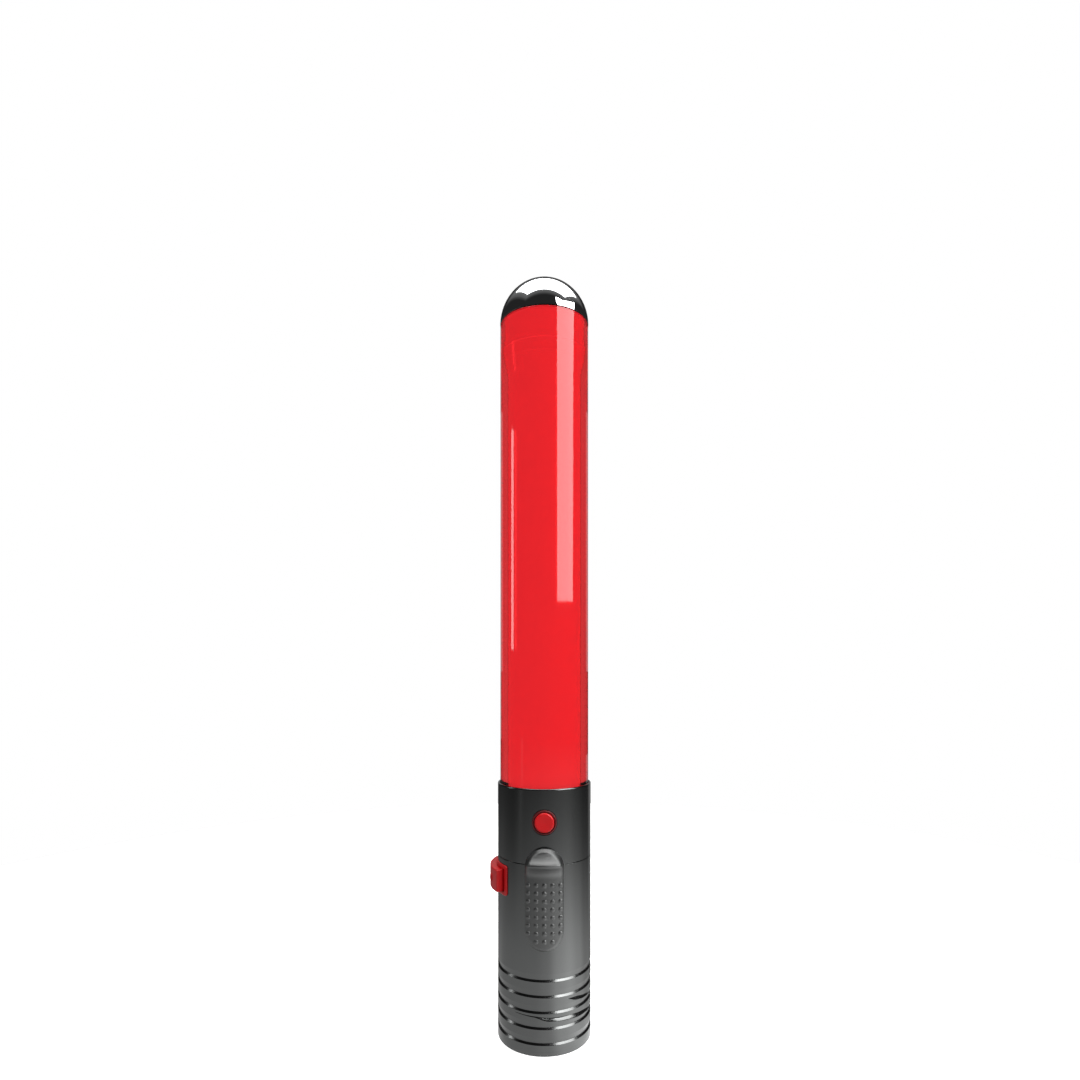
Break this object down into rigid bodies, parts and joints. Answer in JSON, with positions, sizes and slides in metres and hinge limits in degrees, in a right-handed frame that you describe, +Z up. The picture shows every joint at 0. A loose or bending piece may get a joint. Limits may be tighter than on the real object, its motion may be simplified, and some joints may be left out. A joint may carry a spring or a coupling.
{
  "type": "traffic baton light",
  "caption": "Hand-held traffic baton light: red light tube with a polished dome end on a grey grip with push button, thumb slide, rocker switch and charging port cover.",
  "frame": {"origin": "centre of the flat base that the baton stands on", "axes": "+Z up the baton's axis to the dome; the push button and thumb slide face -Y, the rocker switch -X and the charging port cover +Y"},
  "size_m": [0.0442, 0.0485, 0.33],
  "materials": {
    "handle_grey": "satin dark grey with a fine grain",
    "slide_grey": "matte mid grey",
    "control_red": "semi-gloss red",
    "bezel_red": "semi-gloss dark red",
    "lens_red": "clear red, polished, glowing when lit",
    "diffuser_red": "milky red, lit from inside",
    "chrome": "mirror polish",
    "steel": "bright",
    "black_plastic": "matte black",
    "rubber": "matte black rubber",
    "board_green": "green circuit board",
    "white_plastic": "matte white",
    "cell_wrap": "blue wrap"
  },
  "bodies": {
    "handle": {"grip_shell": "handle_grey", "base_plug": "handle_grey", "base_screw_1": "steel", "base_screw_2": "steel", "base_screw_3": "steel", "base_seal": "rubber", "collar": "handle_grey", "collar_seal": "rubber", "button_bezel": "bezel_red", "button_spring": "steel", "rocker_bezel": "control_red", "rocker_pin": "steel", "power_switch": "black_plastic", "port_cover_pin": "steel", "dome_cap": "chrome", "cap_holder": "diffuser_red", "light_tube": "lens_red", "tube_gasket": "rubber", "diffuser": "diffuser_red", "core_base": "diffuser_red", "core_cap": "diffuser_red", "lamp_bar": "white_plastic", "lamp_strip_1": "white_plastic", "lamp_strip_2": "white_plastic", "lamp_strip_3": "white_plastic", "lamp_strip_4": "white_plastic", "power_cell": "cell_wrap", "cell_cradle": "black_plastic", "negative_plate": "steel", "cell_spring": "steel", "positive_contact": "steel", "main_board": "board_green", "controller_chip": "black_plastic", "capacitor": "black_plastic", "mode_switch": "steel", "board_connector": "black_plastic", "driver_board": "board_green", "driver_inductor": "black_plastic", "button_board": "board_green", "tact_switch": "black_plastic", "port_board": "board_green", "charging_socket": "steel", "socket_tongue": "black_plastic", "negative_lead": "black_plastic", "lamp_lead_positive": "control_red", "lamp_lead_negative": "black_plastic", "port_lead_positive": "control_red", "port_lead_negative": "black_plastic"},
    "button": {"push_button": "control_red"},
    "slide": {"thumb_slide": "slide_grey", "slide_carriage": "black_plastic", "mode_switch_knob": "black_plastic"},
    "rocker": {"rocker": "control_red"},
    "port_cover": {"port_cover": "control_red"}
  },
  "joints": [
    {"name": "button_press", "type": "slide", "parent": "handle", "child": "button", "axis": [0, 1, 0], "range_m": [0, 0.0012], "stiffness_N_per_m": 600, "springref_m": -0.001, "deforming": ["button_spring"]},
    {"name": "mode_slide", "type": "slide", "parent": "handle", "child": "slide", "axis": [0, 0, -1], "range_m": [0, 0.005]},
    {"name": "rocker_tilt", "type": "hinge", "parent": "handle", "child": "rocker", "pos_m": [-0.0196, 0, 0.07], "axis": [0, 0, -1], "range_deg": [0, 7]},
    {"name": "port_cover_hinge", "type": "hinge", "parent": "handle", "child": "port_cover", "pos_m": [0.01216, 0.01613, 0.09145], "axis": [0, 0, -1], "range_deg": [0, 110]}
  ]
}
